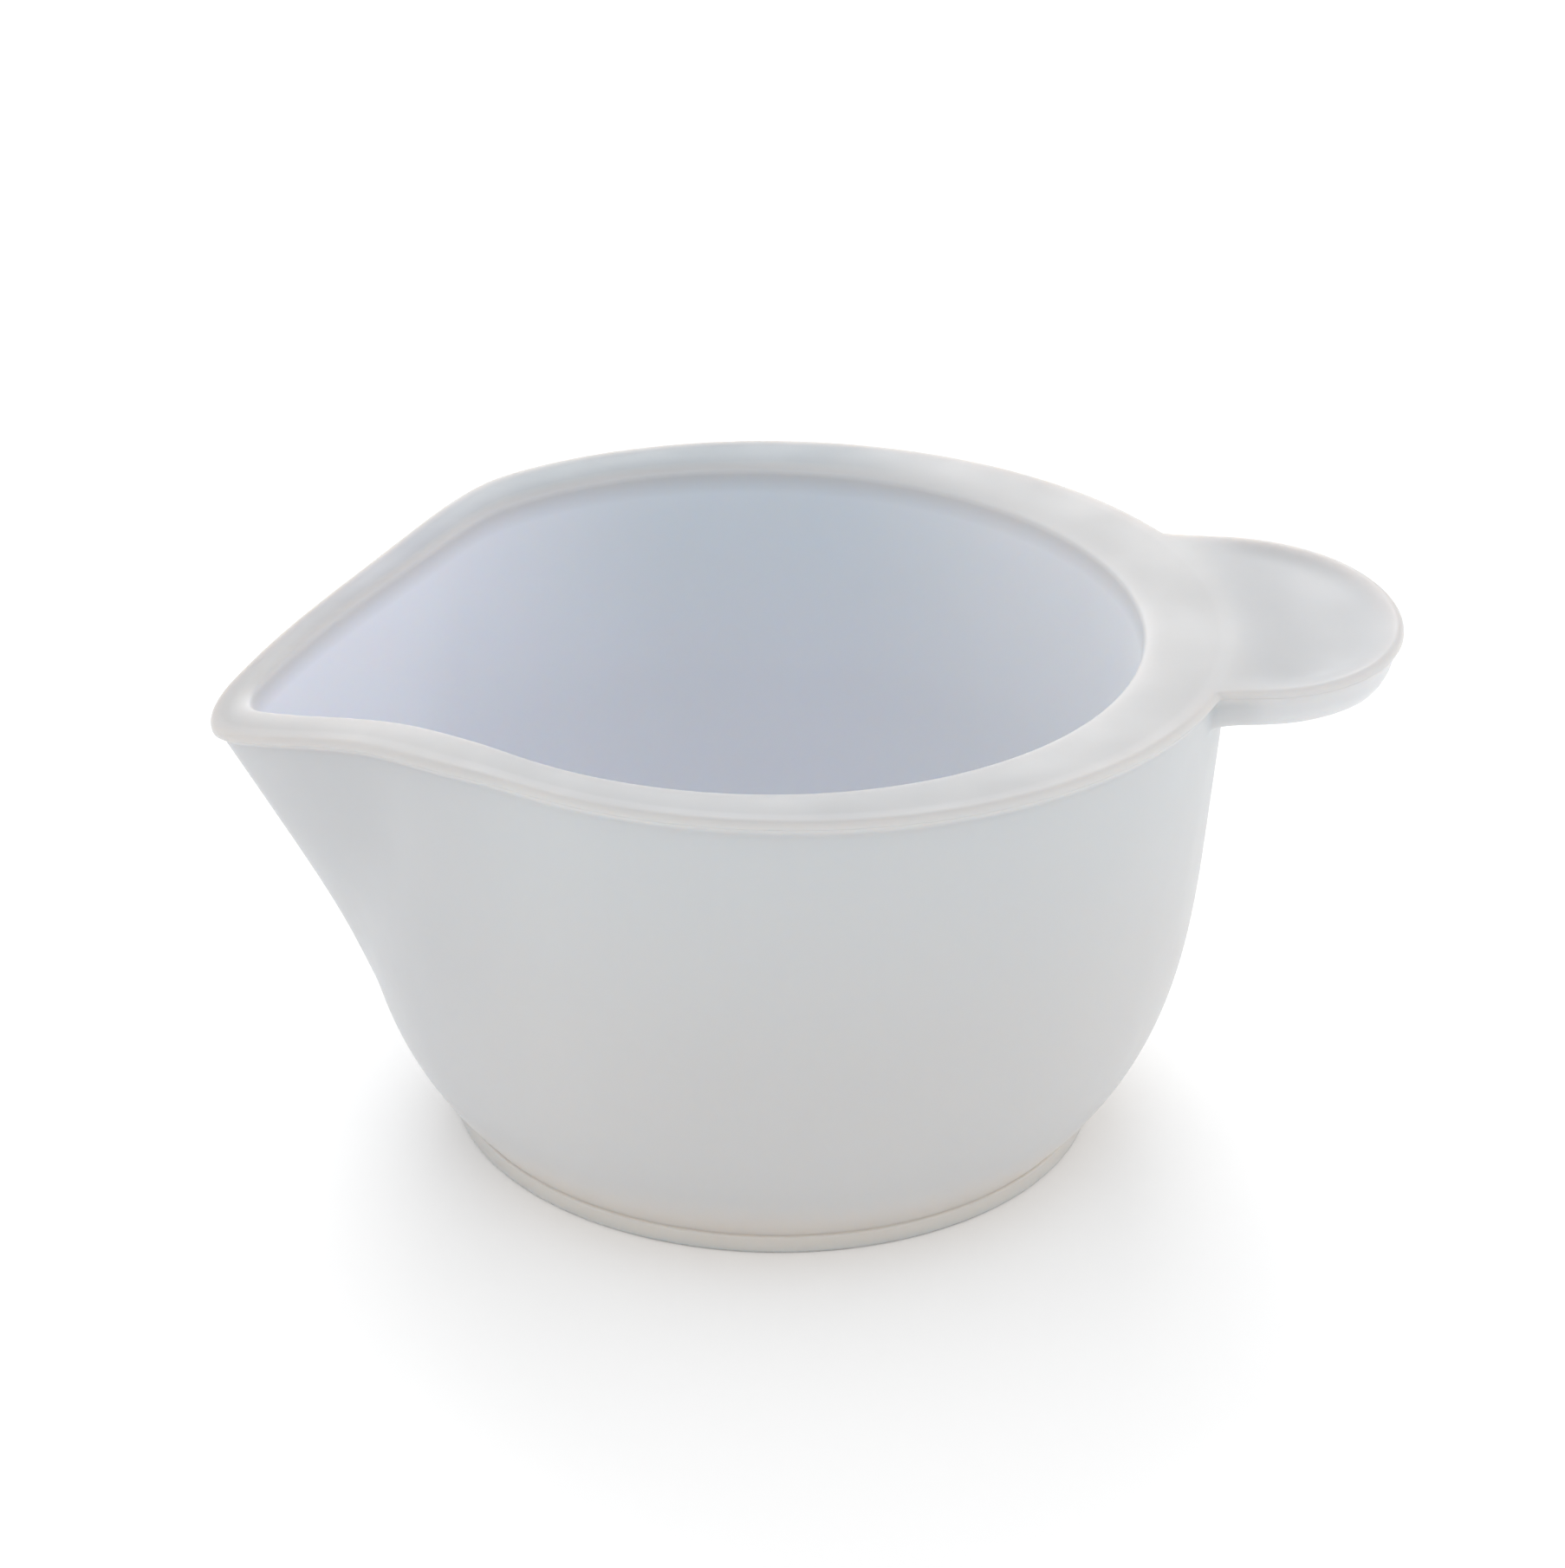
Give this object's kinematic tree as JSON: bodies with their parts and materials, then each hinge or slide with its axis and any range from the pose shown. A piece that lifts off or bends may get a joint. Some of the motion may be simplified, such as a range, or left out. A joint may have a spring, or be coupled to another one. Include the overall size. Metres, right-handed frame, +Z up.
{
  "type": "mixing bowl",
  "caption": "Small round silicone mixing cup with a V-shaped pouring spout, a flat finger tab and a low flat foot.",
  "frame": {"origin": "middle of the foot's flat underside, on the bowl's axis", "axes": "+Z up along the bowl's axis, +X towards the finger tab, -X towards the pouring spout"},
  "size_m": [0.0673, 0.0514, 0.0305],
  "materials": {
    "milky_silicone": "translucent milky silicone, soft satin surface"
  },
  "bodies": {
    "root": {"mixing_bowl": "milky_silicone"}
  },
  "joints": []
}
